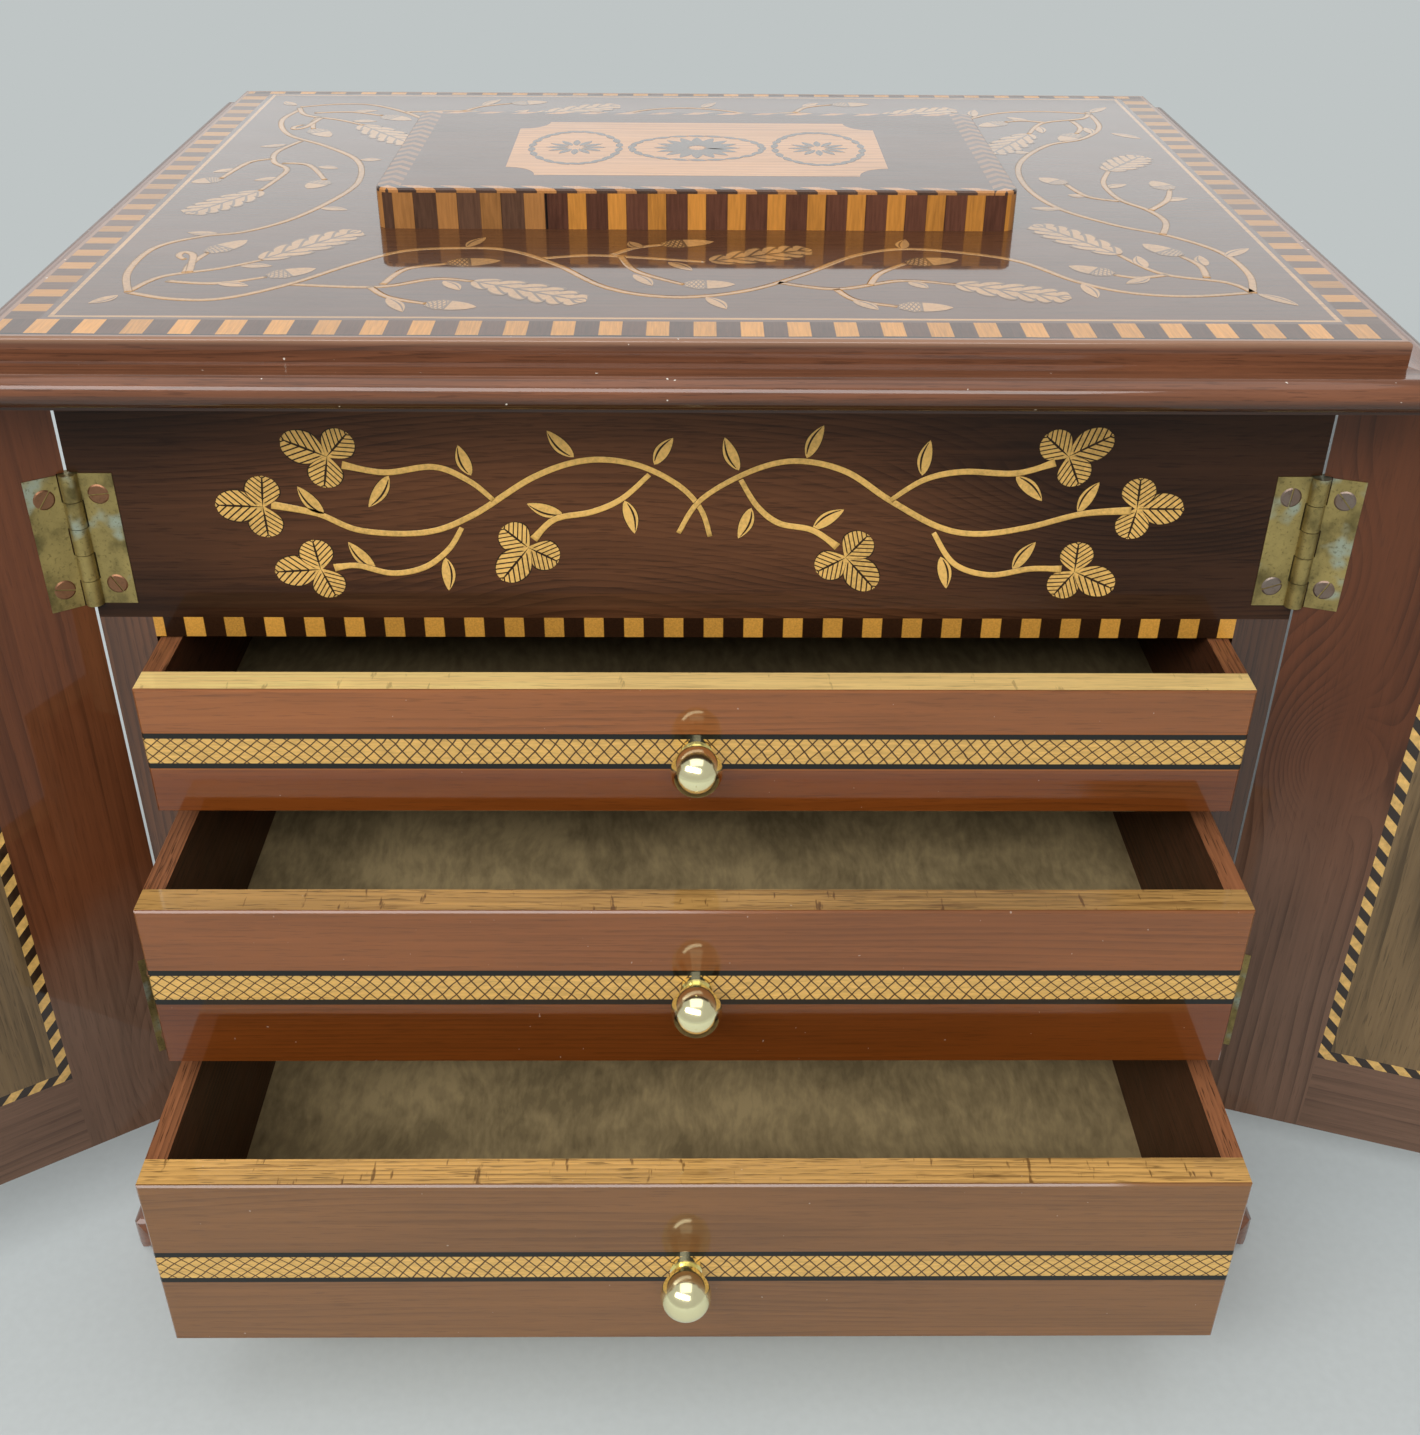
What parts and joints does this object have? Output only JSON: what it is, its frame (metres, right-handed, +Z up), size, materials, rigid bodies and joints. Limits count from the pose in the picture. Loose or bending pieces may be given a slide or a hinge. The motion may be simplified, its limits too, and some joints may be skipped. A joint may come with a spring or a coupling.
{
  "type": "jewellery casket",
  "caption": "Table-top wooden casket with a hinged lid and compartment, a pair of doors and drawers behind them, moulded edges and inlaid bandings.",
  "frame": {"origin": "centre of the casket's underside, on the table", "axes": "+X to the casket's right as seen from its front, +Y to its back, +Z up"},
  "size_m": [0.6379, 0.3786, 0.3198],
  "materials": {
    "moulding_wood": "french polished",
    "case_wood": "french polished",
    "chequer_banding": "french polished",
    "aged_brass": "aged, dull",
    "lid_wood": "french polished",
    "pale_stringing": "french polished",
    "lid_panel_wood": "french polished",
    "door_frame_wood": "french polished",
    "door_panel_wood": "french polished",
    "drawer_front_wood": "french polished",
    "drawer_side_wood": "oiled",
    "drawer_lining_wood": "matt",
    "latticed_band": "french polished",
    "polished_brass": "polished"
  },
  "bodies": {
    "case": {"plinth_front": "moulding_wood", "plinth_left": "moulding_wood", "plinth_right": "moulding_wood", "plinth_back": "moulding_wood", "bottom_board": "case_wood", "case_floor": "case_wood", "case_side_left": "case_wood", "case_side_right": "case_wood", "back_panel": "case_wood", "lower_dust_board": "case_wood", "upper_dust_board": "case_wood", "compartment_floor": "case_wood", "frieze": "case_wood", "frieze_chequer": "chequer_banding", "case_hinge_leaves": "aged_brass"},
    "lid": {"lid_board": "lid_wood", "cornice_front": "moulding_wood", "cornice_left": "moulding_wood", "cornice_right": "moulding_wood", "cornice_back": "moulding_wood", "lid_banding": "chequer_banding", "lid_stringing": "pale_stringing", "lid_block": "lid_wood", "lid_block_banding": "chequer_banding", "lid_block_panel": "lid_panel_wood", "lid_hinge_leaves": "aged_brass"},
    "left_door": {"left_door_hinge_stile": "door_frame_wood", "left_door_meeting_stile": "door_frame_wood", "left_door_rails": "door_frame_wood", "left_door_panel": "door_panel_wood", "left_door_stringing": "pale_stringing", "left_door_hinge_leaves": "aged_brass"},
    "right_door": {"right_door_hinge_stile": "door_frame_wood", "right_door_meeting_stile": "door_frame_wood", "right_door_rails": "door_frame_wood", "right_door_panel": "door_panel_wood", "right_door_stringing": "pale_stringing", "right_door_hinge_leaves": "aged_brass"},
    "top_drawer": {"top_drawer_front": "drawer_front_wood", "top_drawer_side_left": "drawer_side_wood", "top_drawer_side_right": "drawer_side_wood", "top_drawer_back": "drawer_side_wood", "top_drawer_bottom": "drawer_lining_wood", "top_drawer_band": "latticed_band", "top_drawer_knob": "polished_brass"},
    "middle_drawer": {"middle_drawer_front": "drawer_front_wood", "middle_drawer_side_left": "drawer_side_wood", "middle_drawer_side_right": "drawer_side_wood", "middle_drawer_back": "drawer_side_wood", "middle_drawer_bottom": "drawer_lining_wood", "middle_drawer_band": "latticed_band", "middle_drawer_knob": "polished_brass"},
    "bottom_drawer": {"bottom_drawer_front": "drawer_front_wood", "bottom_drawer_side_left": "drawer_side_wood", "bottom_drawer_side_right": "drawer_side_wood", "bottom_drawer_back": "drawer_side_wood", "bottom_drawer_bottom": "drawer_lining_wood", "bottom_drawer_band": "latticed_band", "bottom_drawer_knob": "polished_brass"}
  },
  "joints": [
    {"name": "lid_hinge", "type": "hinge", "parent": "case", "child": "lid", "pos_m": [0, 0.1337, 0.2934], "axis": [-1, 0, 0], "range_deg": [0, 95]},
    {"name": "left_door_hinge", "type": "hinge", "parent": "case", "child": "left_door", "pos_m": [-0.165, -0.1145, 0], "axis": [0, 0, -1], "range_deg": [-65, 33]},
    {"name": "right_door_hinge", "type": "hinge", "parent": "case", "child": "right_door", "pos_m": [0.165, -0.1145, 0], "axis": [0, 0, 1], "range_deg": [-79.5, 18.5]},
    {"name": "top_drawer_slide", "type": "slide", "parent": "case", "child": "top_drawer", "axis": [0, -1, 0], "range_m": [-0.0455, 0.1045]},
    {"name": "middle_drawer_slide", "type": "slide", "parent": "case", "child": "middle_drawer", "axis": [0, -1, 0], "range_m": [-0.0764, 0.0736]},
    {"name": "bottom_drawer_slide", "type": "slide", "parent": "case", "child": "bottom_drawer", "axis": [0, -1, 0], "range_m": [-0.1144, 0.0356]}
  ]
}
